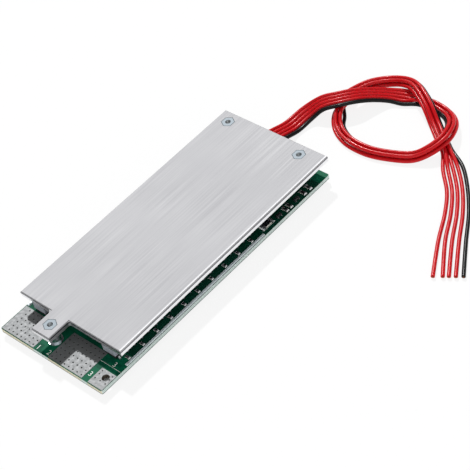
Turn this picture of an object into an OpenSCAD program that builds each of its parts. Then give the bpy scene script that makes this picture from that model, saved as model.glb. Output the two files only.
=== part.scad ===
// Battery management board: a long circuit board under a flat aluminium heatsink plate, held
// apart by three clinched standoffs, with five loose sense wires tied in one open knot.
// X runs across the board, Y along it towards the wires, Z up. The origin is on the surface
// that the screw heads stand on, under the middle of the board and the plate.

/* [Heatsink plate] */
// Width of the plate
plate_w = 60; // [54:0.5:68]
// Length of the plate without its tab
plate_l = 130; // [125:0.5:145]
// Thickness of the sheet
plate_t = 3; // [2.4:0.1:4]
// Clear height between board and plate
plate_gap = 6.5; // [5:0.1:9]
// Size of the broken edges
edge_break = 0.35; // [0.1:0.05:0.6]
// Width of the fixing tab
tab_w = 10.6; // [9.5:0.1:12]
// Length of the fixing tab
tab_l = 11.5; // [10:0.1:12.5]
// Middle of the tab from the plate's left edge
tab_from_left = 24.6; // [22:0.1:26]
// Radius in the tab's left inner corner
tab_left_fillet = 2; // [0.8:0.1:3]
// Radius in the tab's right inner corner
tab_right_fillet = 0.8; // [0.4:0.1:2]

/* [Circuit board] */
// Thickness of the laminate
board_t = 2; // [1.2:0.1:3]
// Radius of the board's corners
board_corner_r = 0.8; // [0.2:0.1:2]
// How far the board's front edge stands ahead of the plate's front edge
front_step = 14.5; // [13:0.5:17]
// How far the board's back edge stays inside the plate's back edge
back_step = 1.5; // [0:0.1:3]
// How far the board's long edges stand out from under the plate
side_step = 0.5; // [0:0.1:2]

/* [Standoffs and screws] */
// Width across the flats of the clinched hexagon
hex_af = 5.6; // [5:0.1:6.5]
// Thickness of the clinched hexagon
hex_t = 1.4; // [1:0.1:1.8]
// Diameter of the standoff's barrel
barrel_d = 5; // [4.6:0.1:5.4]
// Radius of the free thread
thread_r = 1.25; // [1.1:0.05:1.3]
// Depth of the free thread below the plate's top face
thread_depth = 5.5; // [4:0.1:6]
// Radius of the thread's stretch that the screw fills
engaged_r = 1.5; // [1.45:0.05:1.6]
// Diameter of the screw's head
screw_head_d = 5.6; // [5:0.1:6.5]
// Height of the screw's head
screw_head_h = 2; // [1.6:0.1:2.6]
// Length of the screw under its head
screw_l = 5.5; // [4.5:0.1:5.8]
// Width of the blades of the cross recess
recess_w = 0.8; // [0.6:0.1:1]
// Span of the cross recess
recess_span = 3; // [2:0.1:3.4]
// Depth of the cross recess
recess_depth = 1.1; // [0.6:0.1:1.3]
// Middle of the back standoffs from the plate's back edge
back_hole_inset = 5.6; // [5:0.1:8]
// Left standoff from the plate's left edge
left_hole_inset = 6.5; // [5:0.1:9]
// Right standoff from the plate's right edge
right_hole_inset = 11.6; // [8:0.1:14]
// Front standoff from the tab's end
front_hole_inset = 5.8; // [5:0.1:6.5]

/* [Terminal pads] */
// Thickness of the tinned copper
tin_t = 0.15; // [0.1:0.05:0.3]
// Bare margin between a terminal pad and the board's edge
pad_margin = 0.4; // [0.2:0.1:1.5]
// Bare laminate between the battery pad and the front standoff's middle
battery_pad_gap = 5.1; // [3.5:0.1:7]
// How far the battery pad reaches under the plate
battery_pad_under = 0.3; // [0:0.1:0.6]
// Bare laminate between the front standoff's middle and the load pad
load_pad_gap = 3.9; // [3.5:0.1:6]
// How far the load pad reaches under the plate
load_pad_under = 1.2; // [0:0.1:1.4]
// Bare laminate between the load pad and the charge pad
charge_pad_gap = 3.6; // [2:0.1:5]
// Width of the charge pad
charge_pad_w = 8.2; // [7.6:0.1:9]
// Length of the charge pad
charge_pad_l = 8.6; // [7.6:0.1:9]
// Radius of the plated hole in the charge pad
charge_hole_r = 1.7; // [1.4:0.05:1.9]
// Middle of the plated hole from the board's right edge
charge_hole_side = 3.5; // [3.3:0.1:4.5]
// Middle of the plated hole from the board's front edge
charge_hole_front = 6; // [5.4:0.1:6.4]
// Distance between the columns of vias
via_pitch = 2.5; // [2.2:0.05:3.2]
// Rows of vias in a long pad
via_rows = 6; // [4:1:7]
// Distance from the outer vias to the pad's edge
via_edge = 1.2; // [0.9:0.1:1.4]
// Diameter of a via
via_d = 0.7; // [0.5:0.05:0.9]

/* [Power transistors] */
// Transistors in each row
mosfet_count = 10; // [6:1:12]
// Plate's length behind the transistors, over the sense parts
plate_behind = 46; // [44:0.5:50]
// First transistor's middle from the plate's front edge
mosfet_first = 4.2; // [4:0.1:8]
// Width of the moulded body
mosfet_w = 6.6; // [6:0.1:7]
// Length of the moulded body across the board
mosfet_l = 6.1; // [5.6:0.1:6.6]
// Height of the moulded body
mosfet_h = 2.3; // [1.8:0.1:2.6]
// Reach of the leads out of the body
lead_run = 1.6; // [1.4:0.1:2]
// Straight stretch of a lead before it bends down
lead_flat = 0.5; // [0.3:0.05:0.6]
// Run of a lead's slope
lead_drop = 0.6; // [0.4:0.05:0.8]
// Run of the slope's upper side past its lower side
lead_lean = 0.2; // [0.1:0.05:0.3]
// Width of a lead
lead_w = 0.8; // [0.6:0.05:1]
// Thickness of leads and drain tab
lead_t = 0.5; // [0.4:0.05:0.6]
// Middle of the outer leads from the transistor's middle
lead_offset = 2.28; // [2:0.01:2.6]
// Reach of the drain tab out of the body
drain_reach = 1.1; // [0.8:0.1:1.6]
// Width of the drain tab
drain_w = 5.3; // [4.6:0.1:5.8]
// Length of a gate resistor
gate_l = 2; // [1.6:0.1:2.2]
// Width of a gate resistor
gate_w = 1.25; // [0.8:0.05:1.4]
// Gap between a gate resistor and the solder bus
gate_to_bus = 0.8; // [0.4:0.1:1.2]
// Gap between a transistor's leads and its gate resistor
gate_to_lead = 0.6; // [0.4:0.1:1]
// Width of the solder bus along each long edge
bus_w = 1.5; // [1.2:0.1:2]
// Height of the solder bus
bus_h = 0.7; // [0.4:0.1:1]
// Start of the solder bus from the plate's front edge
bus_from_front = 0.7; // [0.6:0.1:3]
// Length of the solder bus
bus_l = 85.5; // [70:0.5:100]
// Bare edge between the solder bus and the board's edge
bus_margin = 0.1; // [0.1:0.1:0.5]
// How much wider than the transistor bodies the thermal strip is
strip_extra = 0.4; // [0:0.1:1]

/* [Small components] */
// Length of a shunt resistor
shunt_l = 6.4; // [5.6:0.1:7]
// Width of a shunt resistor
shunt_w = 3.2; // [2.8:0.1:3.6]
// Height of a shunt resistor
shunt_h = 0.8; // [0.6:0.1:1.2]
// Number of shunt resistors
shunt_count = 6; // [3:1:7]
// Distance between shunt resistors
shunt_pitch = 4.6; // [4:0.1:5]
// Middle of the shunt row from the plate's front edge
shunt_from_front = 14; // [12:0.5:20]
// Length of the protection circuit's body
ic_l = 9.9; // [9:0.1:10.5]
// Width of the protection circuit's body
ic_w = 3.9; // [3.5:0.1:4.4]
// Height of the protection circuit's body
ic_h = 1.5; // [1.2:0.1:1.8]
// Leads on each side of the protection circuit
ic_leads = 8; // [4:1:8]
// Distance between the leads of the protection circuit
ic_pitch = 1.27; // [1:0.01:1.3]
// Middle of the protection circuit from the board's back edge
ic_from_back = 46.5; // [44:0.5:56]
// Cells that the board balances
cell_count = 4; // [2:1:5]
// Distance between balancing channels
cell_pitch = 9; // [8:0.1:10]
// Middle of the balancing row from the board's back edge
balance_from_back = 25.5; // [24:0.5:32]
// Length of a balancing resistor
bleed_l = 6.3; // [5:0.1:6.6]
// Width of a balancing resistor
bleed_w = 3.1; // [2.4:0.1:3.4]
// Height of a balancing resistor
bleed_h = 0.6; // [0.5:0.05:1]
// Length of a small chip
chip_l = 1.6; // [1.4:0.1:2]
// Width of a small chip
chip_w = 0.8; // [0.7:0.1:1.2]
// Height of a small chip resistor
chip_h = 0.5; // [0.4:0.05:0.8]
// Height of a chip capacitor
cap_h = 0.7; // [0.4:0.05:0.8]

// Length of a sense resistor beside the right edge
edge_l = 3.2; // [2.8:0.1:3.4]
// Width of a sense resistor beside the right edge
edge_w = 1.6; // [1.4:0.1:1.8]
// Sense parts' outer ends from the board's right edge
edge_inset = 1.3; // [1:0.1:2]
// Last sense resistor from the board's back edge
edge_from_back = 11; // [9:0.5:12]
// Distance between sense resistors
edge_pitch = 3.8; // [3:0.1:4]

/* [Sense wires] */
// Outer diameter of a wire
wire_d = 1.8; // [1.6:0.05:1.85]
// Distance between the solder joints
joint_pitch = 2.55; // [2.5:0.05:2.8]
// Radius of a solder joint
joint_r = 1.15; // [1:0.05:1.2]
// Radius of the bared conductor
conductor_r = 0.45; // [0.35:0.05:0.5]
// Length of the bared conductor in front of the insulation
conductor_l = 1.4; // [1.2:0.1:2]
// Middle of the wires' ends from the board's left edge
joint_from_left = 23.5; // [18:0.5:32]
// Where the insulation starts, from the board's back edge
joint_inset = 7.75; // [6:0.25:9]

/* [Hidden] */

// Fits: named clearances between pieces
clinch_fit = 0.02;
thread_fit = 0.05;
screw_hole_fit = 0.15;
fit_cut = 1;

// Heights
board_z = screw_head_h;
board_top = board_z + board_t;
plate_z = board_top + plate_gap;
plate_top = plate_z + plate_t;

// The board and the plate together span body_l along Y, and the origin is at the middle
body_l = front_step + plate_l;
board_w = plate_w + 2 * side_step;
board_l = body_l - back_step;
board_front = -body_l / 2;
board_back = board_front + board_l;
board_right = board_w / 2;
plate_front = board_front + front_step;
plate_back = body_l / 2;
plate_left = -plate_w / 2;
board_left = -board_right;
tab_x = plate_left + tab_from_left;
tab_end = plate_front - tab_l;

// The three fixing points
front_point = [tab_x, tab_end + front_hole_inset];
back_left_point = [plate_left + left_hole_inset, plate_back - back_hole_inset];
back_right_point = [plate_w / 2 - right_hole_inset, plate_back - back_hole_inset];
fixing_points = [front_point, back_left_point, back_right_point];

// Transistor rows, from the board's edge inwards: solder bus, gate resistors, leads, bodies
bus_x = board_right - bus_margin - bus_w / 2;
gate_x = bus_x - bus_w / 2 - gate_to_bus - gate_l / 2;
mosfet_x = gate_x - gate_l / 2 - gate_to_lead - lead_run - mosfet_l / 2;
mosfet_mould = 0.35;
mosfet_pitch = (plate_l - plate_behind) / mosfet_count;
strip_l = (mosfet_count - 1) * mosfet_pitch + mosfet_w;
mosfet_mid = plate_front + mosfet_first + (mosfet_count - 1) * mosfet_pitch / 2;

// Lead sections of the small parts
ic_lead_w = 0.42;
ic_lead_t = 0.2;
ic_lead_reach = 1.05;
sot_w = 1.3;
sot_l = 2.9;
sot_h = 1.1;
sot_lead_w = 0.4;
sot_lead_reach = 0.55;
sot_lead_pitch = 0.95;
sot_lead_t = 0.15;
sot_stand = 0.1;
cap_share = 0.22;
cap_proud = 0.03;
balance_gap = 1;
joint_lift = 0.2;

// Middle of the shunt row
shunt_y = plate_front + shunt_from_front;

// Terminal pads: left edges, right edges, and the plated hole
charge_left = board_right - pad_margin / 2 - charge_pad_w;
battery_right = tab_x - battery_pad_gap;
load_left = tab_x + load_pad_gap;
load_right = charge_left - charge_pad_gap;
charge_hole = [board_right - charge_hole_side, board_front + charge_hole_front];

// Sense parts beside the right edge, each at so many pitches in front of the last one
edge_back = board_back - edge_from_back;
edge_resistor_steps = [0, 1, 3.4, 4.1];
edge_transistor_steps = [2.2, 5.3];
edge_shunt_step = 7;
edge_x = board_right - edge_inset - edge_l / 2;
edge_transistor_x = board_right - edge_inset - sot_lead_reach - sot_w / 2;
edge_shunt_x = bus_x - bus_w / 2 - gate_to_bus - shunt_w / 2;

// How the five wires lie round the route: red 1 to 4 and black, each [to the right, up] in spacings
nest = 0.87;
lift = 0.92;
lay = [
    [[-2, 0], [-1, 0], [0, 0], [1, 0], [2, 0]],
    [[-1, 0], [-0.5, nest], [0, 0], [0.5, nest], [1, 0]],
    [[-1, lift], [-0.5, lift + nest], [0, lift], [0.5, lift + nest], [1, 0]],
    [[0, lift], [-0.5, lift + nest], [1, lift], [0.5, lift + nest], [-1, 0]],
    [[0, 0], [-0.5, nest], [1, 0], [0.5, nest], [-1, 0]],
    [[0, 0], [-1, 0], [2, 0], [1, 0], [-2, 0]],
    [[-0.1, 0], [-1, 0], [2, 0], [0.7, 0], [-2, 0]]];
FLAT = 0;
BUNCH = 1;
LIFTED = 2;
PASSED = 3;
CROSSED = 4;
FANNED = 5;
SPREAD = 6;

// Where the ribbon starts, on the board
joint_x = board_left + joint_from_left;
joint_y = board_back - joint_inset;
// Middle of the ribbon from there, chosen by hand, each as
// [x, y, z of the lowest wires, how they lie, their spacing]
rings_between = 2;
wire_sides = 8;
joint_z = board_top + wire_d / 2 + 0.05;
route = [
    [0, 0, joint_z, FLAT, joint_pitch],
    [0, 8.5, joint_z + 0.2, FLAT, 2.45],
    [0.1, 17, 3, FLAT, 2.3],
    [0.6, 25.5, 1.1, FLAT, 2.2],
    [2, 35, 2.3, FLAT, 2.2],
    [6.2, 41, 5.5, FLAT, 2.2],
    [11.8, 45.6, 6.9, FLAT, 2.15],
    [16.6, 51, 6.8, FLAT, 2.1],
    [20.8, 57.4, 4.6, FLAT, 2.05],
    [26.4, 63.6, 2, FLAT, 2],
    [33.5, 67, 1, FLAT, 2.2],
    [41, 68.2, 1, BUNCH, 2.15],
    [49, 68.6, 1, BUNCH, 2.15],
    [57, 66.8, 1.2, BUNCH, 2.15],
    [63, 62.2, 2.8, BUNCH, 2.15],
    [66.8, 55.8, 4.6, BUNCH, 2.15],
    [68, 49.2, 5, BUNCH, 2.15],
    [65.8, 42.2, 3.6, BUNCH, 2.15],
    [60.6, 37, 1.4, BUNCH, 2.15],
    [51.6, 32.9, 1, BUNCH, 2.15],
    [41, 30.2, 1, BUNCH, 2.15],
    [29.5, 30.9, 1, BUNCH, 2.15],
    [20.2, 35.4, 1, BUNCH, 2.15],
    [15.2, 42, 1, LIFTED, 2.15],
    [11.9, 52, 1, PASSED, 2.15],
    [11, 59, 1, CROSSED, 2.15],
    [14.2, 66, 1, CROSSED, 2.15],
    [20.2, 71.8, 1, CROSSED, 2.15],
    [28, 73.8, 2.6, CROSSED, 2.15],
    [35.8, 71.8, 4.9, CROSSED, 2.15],
    [43, 68, 5, CROSSED, 2.15],
    [50, 63.4, 4.2, CROSSED, 2.15],
    [56.8, 58.6, 1.4, CROSSED, 2.15],
    [63.8, 53.2, 1, CROSSED, 2.15],
    [71, 47.8, 1, CROSSED, 2.15],
    [79.4, 40.4, 1, FANNED, 2.15],
    [89, 30.4, 1, FANNED, 2.2],
    [97, 19, 1, FANNED, 2.5],
    [104.6, 5.4, 1, FANNED, 2.85],
    [115, -11.5, 1, SPREAD, 3.1]];
$fn = 48;

module at_points(points) {
    for (p = points)
        translate([p[0], p[1], 0])
            children();
}

// Box with its eight level edges broken: the crossing of two long prisms
module broken_box(size, bevel) {
    intersection() {
        translate([-size[0] / 2, size[1] / 2, 0])
            rotate([90, 0, 0])
                linear_extrude(size[1])
                    broken_section(size[0], size[2], bevel);
        translate([-size[0] / 2, -size[1] / 2, 0])
            rotate([90, 0, 90])
                linear_extrude(size[0])
                    broken_section(size[1], size[2], bevel);
    }
}

module broken_section(w, h, bevel) {
    polygon([[bevel, 0], [w - bevel, 0], [w, bevel], [w, h - bevel],
        [w - bevel, h], [bevel, h], [0, h - bevel], [0, bevel]]);
}

// Concave corner of radius r that fills the angle between the +X and +Y directions
module corner_fill(r, h) {
    linear_extrude(h)
        difference() {
            square(r);
            translate([r, r])
                circle(r);
        }
}

module heatsink_plate() {
    color("gainsboro")
        difference() {
            translate([0, 0, plate_z])
                union() {
                    translate([0, (plate_front + plate_back) / 2, 0])
                        broken_box([plate_w, plate_l, plate_t], edge_break);
                    translate([tab_x, plate_front - tab_l / 2 + fit_cut, 0])
                        broken_box([tab_w, tab_l + 2 * fit_cut, plate_t], edge_break);
                    translate([tab_x - tab_w / 2, plate_front, edge_break])
                        rotate(180)
                            corner_fill(tab_left_fillet, plate_t - 2 * edge_break);
                    translate([tab_x + tab_w / 2, plate_front, edge_break])
                        rotate(270)
                            corner_fill(tab_right_fillet, plate_t - 2 * edge_break);
                }
            at_points(fixing_points)
                translate([0, 0, plate_z]) {
                    translate([0, 0, -fit_cut])
                        cylinder(d = barrel_d + 2 * clinch_fit, h = plate_t + 2 * fit_cut);
                    translate([0, 0, plate_t - hex_t])
                        hexagon(hex_af + 2 * clinch_fit, hex_t + fit_cut);
                }
        }
}

module hexagon(across_flats, h) {
    rotate(30)
        cylinder(d = across_flats / cos(30), h = h, $fn = 6);
}

// Clinch standoff: the hexagon lies flush in the plate, the barrel stands on the board
module standoff(point) {
    color("silver")
        translate([point[0], point[1], 0])
            difference() {
                union() {
                    translate([0, 0, board_top])
                        cylinder(d = barrel_d, h = plate_top - hex_t - board_top);
                    translate([0, 0, plate_top - hex_t])
                        hexagon(hex_af, hex_t);
                }
                translate([0, 0, plate_top - thread_depth - fit_cut])
                    cylinder(r = thread_r, h = thread_depth + 2 * fit_cut);
                translate([0, 0, board_top - fit_cut])
                    cylinder(r = engaged_r, h = plate_top - thread_depth - board_top + fit_cut);
            }
}

// Pan head screws, up through the board into the standoffs
module screws() {
    crown_r = screw_head_d / 2 - 0.5;
    color("silver")
        at_points(fixing_points)
            difference() {
                rotate_extrude()
                    polygon([[0, 0], [crown_r, 0], [screw_head_d / 2, 0.6],
                        [screw_head_d / 2, screw_head_h], [engaged_r - thread_fit, screw_head_h],
                        [engaged_r - thread_fit, screw_head_h + screw_l - 0.4],
                        [engaged_r - thread_fit - 0.4, screw_head_h + screw_l],
                        [0, screw_head_h + screw_l]]);
                for (turn = [0, 90])
                    rotate(turn)
                        translate([-recess_span / 2, -recess_w / 2, -fit_cut])
                            cube([recess_span, recess_w, recess_depth + fit_cut]);
            }
}

module circuit_board() {
    color("darkgreen")
        difference() {
            translate([0, board_front, board_z])
                linear_extrude(board_t)
                    rounded_outline(board_w, board_l, board_corner_r);
            at_points(fixing_points)
                translate([0, 0, board_z - fit_cut])
                    cylinder(r = engaged_r + screw_hole_fit, h = board_t + 2 * fit_cut);
            translate([charge_hole[0], charge_hole[1], board_z - fit_cut])
                cylinder(r = charge_hole_r, h = board_t + 2 * fit_cut);
        }
}

// Rectangle with round corners that starts at Y = 0 and is centred on X = 0
module rounded_outline(w, l, r) {
    union() {
        translate([-w / 2 + r, 0])
            square([w - 2 * r, l]);
        translate([-w / 2, r])
            square([w, l - 2 * r]);
        for (x = [-w / 2 + r, w / 2 - r], y = [r, l - r])
            translate([x, y])
                circle(r);
    }
}

// Tinned copper on both faces of the board, joined through its vias
module terminal_pad(left, right, back) {
    front = board_front + pad_margin;
    color("lightgray")
        for (z = [board_top, board_z - tin_t])
            difference() {
                translate([left, front, z])
                    cube([right - left, back - front, tin_t]);
                for (i = [0:floor((right - left - 2 * via_edge) / via_pitch)], j = [0:via_rows - 1])
                    via(right - via_edge - i * via_pitch,
                        front + via_edge + j * (back - front - 2 * via_edge) / (via_rows - 1), z);
            }
}

module via(x, y, z) {
    translate([x, y, z - fit_cut])
        cylinder(d = via_d, h = tin_t + 2 * fit_cut, $fn = 8);
}

module battery_pad() {
    terminal_pad(board_left + pad_margin, battery_right, plate_front + battery_pad_under);
}

module load_pad() {
    terminal_pad(load_left, load_right, plate_front + load_pad_under);
}

// The charge pad carries a plated hole, with vias on three sides of it
module charge_pad() {
    front = board_front + pad_margin;
    pad_back = front + charge_pad_l;
    columns = [charge_left + via_edge, charge_hole[0] - charge_hole_r / 2,
        charge_left + charge_pad_w - via_edge];
    rows = [charge_hole[1] - charge_hole_r - via_d, charge_hole[1], pad_back - via_edge];
    color("lightgray")
        for (z = [board_top, board_z - tin_t])
            difference() {
                translate([charge_left, front, z])
                    cube([charge_pad_w, charge_pad_l, tin_t]);
                translate([charge_hole[0], charge_hole[1], z - fit_cut])
                    cylinder(r = charge_hole_r, h = tin_t + 2 * fit_cut);
                for (x = [columns[0], columns[2]], y = rows)
                    via(x, y, z);
                via(columns[1], rows[0], z);
            }
}

// Long low bead of solder: a flat-bottomed slice of a round bar
module solder_bus(side) {
    bead_r = (bus_w * bus_w / 4 + bus_h * bus_h) / (2 * bus_h);
    color("lightgray")
        translate([side * bus_x, plate_front + bus_from_front, board_top])
            intersection() {
                translate([0, 0, bus_h - bead_r])
                    rotate([-90, 0, 0])
                        cylinder(r = bead_r, h = bus_l);
                translate([-bus_w, 0, 0])
                    cube([2 * bus_w, bus_l, bus_h + fit_cut]);
            }
}

function mosfet_y(i) = mosfet_mid + (i - (mosfet_count - 1) / 2) * mosfet_pitch;

module mosfet_row(side) {
    for (i = [0:mosfet_count - 1])
        translate([side * mosfet_x, mosfet_y(i), board_top])
            rotate(side > 0 ? 0 : 180)
                children();
}

// Moulded body with drafted ends, seen along the row
module mosfet_bodies(side) {
    color("dimgray")
        mosfet_row(side)
            translate([0, mosfet_w / 2, 0])
                rotate([90, 0, 0])
                    linear_extrude(mosfet_w)
                        polygon([[-mosfet_l / 2, lead_t], [mosfet_l / 2 - mosfet_mould / 2, 0],
                            [mosfet_l / 2, mosfet_h / 2], [mosfet_l / 2 - mosfet_mould, mosfet_h],
                            [-mosfet_l / 2 + mosfet_mould, mosfet_h], [-mosfet_l / 2, mosfet_h / 2]]);
}

// Two formed leads towards the board's edge and the drain tab towards its middle
module mosfet_leads(side) {
    rise = mosfet_h / 2;
    start = mosfet_l / 2;
    bend = start + lead_flat;
    color("silver")
        mosfet_row(side)
            union() {
                for (y = [-lead_offset, lead_offset])
                    translate([0, y + lead_w / 2, 0])
                        rotate([90, 0, 0])
                            linear_extrude(lead_w)
                                polygon([[start, rise - lead_t / 2], [bend, rise - lead_t / 2],
                                    [bend + lead_drop, 0], [start + lead_run, 0],
                                    [start + lead_run, lead_t], [bend + lead_drop + lead_lean, lead_t],
                                    [bend + lead_lean, rise + lead_t / 2], [start, rise + lead_t / 2]]);
                translate([-start - drain_reach, -drain_w / 2, 0])
                    cube([drain_reach, drain_w, lead_t]);
            }
}

module thermal_strip(side) {
    color("slategray")
        translate([side * mosfet_x - mosfet_l / 2 - strip_extra, mosfet_mid - strip_l / 2 - strip_extra,
                board_top + mosfet_h])
            cube([mosfet_l + 2 * strip_extra, strip_l + 2 * strip_extra, plate_gap - mosfet_h]);
}

// Small chip with metal end caps, one solid, long side along Y
module chip(l, w, h) {
    cap = l * cap_share;
    union() {
        translate([-w / 2, -l / 2, 0])
            cube([w, cap, h]);
        translate([-w / 2 + cap_proud, -l / 2, cap_proud])
            cube([w - 2 * cap_proud, l, h - 2 * cap_proud]);
        translate([-w / 2, l / 2 - cap, 0])
            cube([w, cap, h]);
    }
}

// One at each transistor, lying across the board
module gate_resistors() {
    color("black")
        for (side = [-1, 1], i = [0:mosfet_count - 1])
            translate([side * gate_x, mosfet_y(i), board_top])
                rotate(90)
                    chip(gate_l, gate_w, chip_h);
}

module shunt_resistors() {
    color("darkslategray")
        for (i = [0:shunt_count - 1])
            translate([(i - (shunt_count - 1) / 2) * shunt_pitch, shunt_y, board_top])
                chip(shunt_l, shunt_w, shunt_h);
}

module protection_ic() {
    color("dimgray")
        translate([0, board_back - ic_from_back, board_top + ic_lead_t])
            translate([0, ic_l / 2, 0])
                rotate([90, 0, 0])
                    linear_extrude(ic_l)
                        polygon([[-ic_w / 2 + 0.15, 0], [ic_w / 2 - 0.15, 0], [ic_w / 2, ic_h / 2],
                            [ic_w / 2 - 0.15, ic_h], [-ic_w / 2 + 0.15, ic_h], [-ic_w / 2, ic_h / 2]]);
}

// Gull-wing lead: out of the body at mid height, down, and out along the board
module gull_lead(start, reach, rise, w, t) {
    translate([0, w / 2, 0])
        rotate([90, 0, 0])
            linear_extrude(w)
                polygon([[start, rise], [start + reach * 0.35, rise], [start + reach * 0.45, 0],
                    [start + reach, 0], [start + reach, t], [start + reach * 0.6, t],
                    [start + reach * 0.5, rise + t], [start, rise + t]]);
}

module protection_ic_leads() {
    color("silver")
        translate([0, board_back - ic_from_back, board_top])
            for (turn = [0, 180], i = [0:ic_leads - 1])
                rotate(turn)
                    translate([0, (i - (ic_leads - 1) / 2) * ic_pitch, 0])
                        gull_lead(ic_w / 2, ic_lead_reach, ic_h / 2 + ic_lead_t / 2, ic_lead_w, ic_lead_t);
}

module cell_row(y) {
    for (i = [0:cell_count - 1])
        translate([(i - (cell_count - 1) / 2) * cell_pitch, y, board_top])
            children();
}

// Small transistor: body, two leads on its right and one on its left, one solid
module small_transistor() {
    union() {
        translate([-sot_w / 2, -sot_l / 2, sot_stand])
            cube([sot_w, sot_l, sot_h - sot_stand]);
        for (y = [-sot_lead_pitch, sot_lead_pitch])
            translate([0, y, 0])
                small_lead();
        rotate(180)
            small_lead();
    }
}

module small_lead() {
    gull_lead(sot_w / 2 - sot_lead_t, sot_lead_reach + sot_lead_t, sot_h / 2, sot_lead_w, sot_lead_t);
}

// One switching transistor for each cell
module balance_transistors() {
    color("dimgray")
        cell_row(board_back - balance_from_back)
            small_transistor();
}

module balance_resistors() {
    color("black")
        cell_row(board_back - balance_from_back + sot_l / 2 + balance_gap + bleed_l / 2)
            chip(bleed_l, bleed_w, bleed_h);
}

module chip_capacitors() {
    color("tan")
        for (x = [-1, 1])
            cell_row(board_back - balance_from_back - sot_l / 2 - balance_gap - chip_l / 2)
                translate([x * chip_l, 0, 0])
                    chip(chip_l, chip_w, cap_h);
}

// Sense resistors beside the right edge, lying across the board
module edge_resistors() {
    color("black")
        for (step = edge_resistor_steps)
            translate([edge_x, edge_back - step * edge_pitch, board_top])
                rotate(90)
                    chip(edge_l, edge_w, chip_h);
}

module edge_transistors() {
    color("dimgray")
        for (step = edge_transistor_steps)
            translate([edge_transistor_x, edge_back - step * edge_pitch, board_top])
                small_transistor();
}

// Charging current's shunt, along the edge between the transistors and the sense parts
module edge_shunt() {
    color("darkslategray")
        translate([edge_shunt_x, edge_back - edge_shunt_step * edge_pitch, board_top])
            chip(shunt_l, shunt_w, shunt_h);
}

// Solder domes on the board, each with the bared conductor up to the insulation
module wire_joints() {
    color("silver")
        for (k = [0:4])
            translate([joint_x + (k - 2) * joint_pitch, joint_y - conductor_l, board_top])
                union() {
                    intersection() {
                        translate([0, 0, joint_lift])
                            sphere(r = joint_r);
                        translate([-2 * joint_r, -2 * joint_r, 0])
                            cube(4 * joint_r);
                    }
                    translate([0, 0, joint_z - board_top])
                        rotate([-90, 0, 0])
                            cylinder(r = conductor_r, h = conductor_l);
                }
}

// Wire k of the ribbon: its knots from the route, its rings on one smooth curve through them
function route_way(i) =
    let (d = route[min(i + 1, len(route) - 1)], e = route[max(i - 1, 0)],
        v = [d[0] - e[0], d[1] - e[1]])
    v / norm(v);
function knot(k, i) =
    let (p = route[i], w = route_way(i), s = lay[p[3]][k], step = p[4])
    [joint_x + p[0] + w[1] * s[0] * step, joint_y + p[1] - w[0] * s[0] * step, p[2] + s[1] * step];
function between(a, b, c, d, t) =
    (2 * b + (c - a) * t + (2 * a - 5 * b + 4 * c - d) * t * t + (3 * b - a - 3 * c + d) * t * t * t) / 2;
function wire_path(k) =
    let (n = len(route), knots = [for (i = [0:n - 1]) knot(k, i)])
    [for (i = [0:n - 2], j = [0:rings_between - 1])
        between(knots[max(i - 1, 0)], knots[i], knots[i + 1], knots[min(i + 2, n - 1)], j / rings_between),
        knots[n - 1]];
function ring(p, way, r) =
    let (across = [way[1], -way[0], 0] / norm([way[0], way[1]]), up = cross(across, way))
    [for (a = [0:360 / wire_sides:359]) p + r * (across * cos(a) + up * sin(a))];

module wire(k) {
    path = wire_path(k);
    n = len(path);
    ways = [for (i = [0:n - 1]) let (v = path[min(i + 1, n - 1)] - path[max(i - 1, 0)]) v / norm(v)];
    points = [for (i = [0:n - 1]) each ring(path[i], i == 0 ? [0, 1, 0] : ways[i], wire_d / 2)];
    sides = [for (i = [0:n - 2], j = [0:wire_sides - 1])
        let (a = i * wire_sides + j, b = i * wire_sides + (j + 1) % wire_sides)
        [a, b, b + wire_sides, a + wire_sides]];
    ends = [[for (j = [wire_sides - 1:-1:0]) j], [for (j = [0:wire_sides - 1]) (n - 1) * wire_sides + j]];
    polyhedron(points, concat(sides, ends), convexity = 6);
}

module wire_black() { color("black") wire(4); }
module wire_red_1() { color("red") wire(0); }
module wire_red_2() { color("red") wire(1); }
module wire_red_3() { color("red") wire(2); }
module wire_red_4() { color("red") wire(3); }

heatsink_plate();
standoff(front_point);  // standoff_front
standoff(back_left_point);  // standoff_back_left
standoff(back_right_point);  // standoff_back_right
screws();
circuit_board();
battery_pad();
load_pad();
charge_pad();
solder_bus(-1);  // solder_bus_left
solder_bus(1);  // solder_bus_right
mosfet_bodies(-1);  // mosfet_bodies_left
mosfet_bodies(1);  // mosfet_bodies_right
mosfet_leads(-1);  // mosfet_leads_left
mosfet_leads(1);  // mosfet_leads_right
thermal_strip(-1);  // thermal_strip_left
thermal_strip(1);  // thermal_strip_right
gate_resistors();
shunt_resistors();
protection_ic();
protection_ic_leads();
balance_transistors();
balance_resistors();
chip_capacitors();
edge_resistors();
edge_transistors();
edge_shunt();
wire_joints();
wire_black();
wire_red_1();
wire_red_2();
wire_red_3();
wire_red_4();
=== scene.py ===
"""Battery management board: finishes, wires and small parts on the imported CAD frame, in metres."""

import logging
import math
import random
from dataclasses import dataclass
from enum import Enum
from typing import Any, Callable, Sequence

import bpy
from mathutils import Matrix, Vector


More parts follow.
